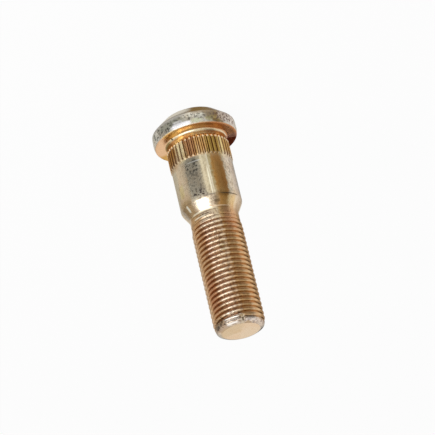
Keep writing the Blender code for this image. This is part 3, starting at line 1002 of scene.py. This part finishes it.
def add_card(name, shade, bearing, half_width, softness, inner, outer, height, edge):
    """Adds a graded grey card that only the metal sees: part of a ring on the floor, with a wall outside."""
    material = new_material(name)
    tree = material.node_tree
    place = add_node(tree, "ShaderNodeTexCoord").outputs["Object"]
    axes = add_node(tree, "ShaderNodeSeparateXYZ", {"Vector": place})
    across = calculate(tree, "ABSOLUTE", calculate(tree, "ARCTAN2", axes.outputs["Y"], axes.outputs["X"]))
    sides = fade(tree, across, half_width + softness, half_width - softness)
    radius = move(tree, "LENGTH", stretch(tree, place, 1, 1, 0)).outputs["Value"]
    along = calculate(tree, "ADD", radius, axes.outputs["Z"])
    ends = calculate(tree, "MULTIPLY", fade(tree, along, inner - edge, inner + edge),
                     fade(tree, along, outer + height, outer + height - edge))
    grey = calculate(tree, "MULTIPLY_ADD", calculate(tree, "MULTIPLY", sides, ends), shade - 1.0, 1.0)
    tree.links.new(emission(tree, grey), tree.nodes["Material Output"].inputs["Surface"])
    bm = bmesh.new()
    corners = [bm.verts.new((inner - edge, 0, CARD_LIFT)), bm.verts.new((outer, 0, CARD_LIFT))]
    if height:
        corners.append(bm.verts.new((outer, 0, height)))
    edges = [bm.edges.new(pair) for pair in zip(corners, corners[1:])]
    reach = half_width + softness
    bmesh.ops.rotate(bm, verts=corners, cent=(0, 0, 0), matrix=Matrix.Rotation(-reach, 3, "Z"))
    bmesh.ops.spin(bm, geom=corners + edges, cent=(0, 0, 0), axis=(0, 0, 1), angle=2 * reach,
                   steps=CARD_STEPS)
    card = stage_object(name, bm, material)
    card.rotation_euler.z = bearing
    card.visible_camera = False
    card.visible_diffuse = False
    card.visible_shadow = False
    return card


def aim(place, target):
    """Gives the transform that puts a lamp at a place and points it at a target."""
    direction = target - place
    return Matrix.Translation(place) @ direction.to_track_quat("-Z", "Y").to_matrix().to_4x4()


def add_softbox(name, bearing, elevation, distance, width, depth, power):
    """Adds a rectangular lamp that lights the stud from a bearing and an elevation."""
    light = bpy.data.lights.new(name, "AREA")
    light.shape = "RECTANGLE"
    light.size = width
    light.size_y = depth
    light.energy = power
    lamp = bpy.data.objects.new(name, light)
    swing = Matrix.Rotation(bearing, 3, "Z") @ Matrix.Rotation(-elevation, 3, "Y")
    lamp.matrix_world = aim(swing @ Vector((distance, 0, 0)), LAMP_TARGET)
    bpy.context.scene.collection.objects.link(lamp)
    return lamp


def add_world():
    """Sets an even white sky, which is weaker for matt surfaces."""
    world = bpy.data.worlds.new("white_studio")
    world.use_nodes = True
    tree = world.node_tree
    strength = calculate(tree, "MULTIPLY_ADD", seen_directly(tree), 1 - SKY_FILL, SKY_FILL)
    tree.links.new(strength, tree.nodes["Background"].inputs["Strength"])
    tree.nodes["Background"].inputs["Color"].default_value = WHITE
    bpy.context.scene.world = world


def add_camera(settings):
    """Adds the camera that sees the stud as the photograph does."""
    camera = bpy.data.cameras.new("camera")
    camera.sensor_width = SENSOR_WIDTH
    camera.lens = settings.camera_lens
    camera.clip_start = CLIP_START
    camera.clip_end = CLIP_END
    holder = bpy.data.objects.new("camera", camera)
    turn = Matrix.Rotation(settings.camera_tilt, 4, "X") @ Matrix.Rotation(settings.camera_roll, 4, "Z")
    holder.matrix_world = Matrix.Translation(settings.camera_place) @ turn
    bpy.context.scene.collection.objects.link(holder)
    bpy.context.scene.camera = holder


class ForgeWheelStud(Operator):
    """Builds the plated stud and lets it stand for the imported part"""

    bl_idname = "wheel_stud.forge"
    bl_label = "Forge Wheel Stud"

    def execute(self, context):
        sizes = context.scene.stud_sizes
        mesh = forge_stud(sizes)
        mesh.materials.append(plate_stud(context.scene.plating_colours, sizes))
        stud = bpy.data.objects.new(STUD_PIECE, mesh)
        context.scene.collection.objects.link(stud)
        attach(stud, "root")
        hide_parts(STUD_NODE)
        return {"FINISHED"}


class SetStage(Operator):
    """Sets the white floor, the sky, the lamps, the cards and the camera"""

    bl_idname = "wheel_stud.set_stage"
    bl_label = "Set Stage"

    def execute(self, context):
        settings = context.scene.studio_settings
        add_floor()
        add_world()
        for name, bearing, elevation, distance, width, depth, power in LAMPS:
            add_softbox(name, math.radians(bearing), math.radians(elevation), distance, width, depth,
                        getattr(settings, power))
        for name, shade, bearing, half_width, softness, *lengths in CARDS:
            add_card(name, shade, math.radians(bearing), math.radians(half_width), math.radians(softness),
                     *(value * MM for value in lengths))
        add_camera(settings)
        context.scene.view_settings.view_transform = "Standard"
        return {"FINISHED"}


class StudPanel(Panel):
    """Lists the operators and the values that they read"""

    bl_idname = "VIEW3D_PT_wheel_stud"
    bl_label = "Wheel Stud"
    bl_space_type = "VIEW_3D"
    bl_region_type = "UI"
    bl_category = "Wheel Stud"

    def draw(self, context):
        for group, _, operator in GROUPS:
            settings = getattr(context.scene, group)
            for name in settings.__annotations__:
                self.layout.prop(settings, name)
            self.layout.operator(operator.bl_idname)


# Groups of values on the scene, and the operators that read them
GROUPS = (
    ("stud_sizes", StudSizes, ForgeWheelStud),
    ("plating_colours", PlatingColours, ForgeWheelStud),
    ("studio_settings", StudioSettings, SetStage),
)
CLASSES = (StudSizes, PlatingColours, StudioSettings, ForgeWheelStud, SetStage, StudPanel)


def register():
    """Registers the add-on's classes and its values on the scene."""
    for item in CLASSES:
        bpy.utils.register_class(item)
    for name, group, _ in GROUPS:
        setattr(bpy.types.Scene, name, PointerProperty(type=group))


def unregister():
    """Takes the add-on's values and classes away again."""
    for name, _, _ in GROUPS:
        delattr(bpy.types.Scene, name)
    for item in reversed(CLASSES):
        bpy.utils.unregister_class(item)


def main():
    """Builds the stud and its stage."""
    register()
    bpy.ops.wheel_stud.forge()
    bpy.ops.wheel_stud.set_stage()


if __name__ == "__main__":
    main()
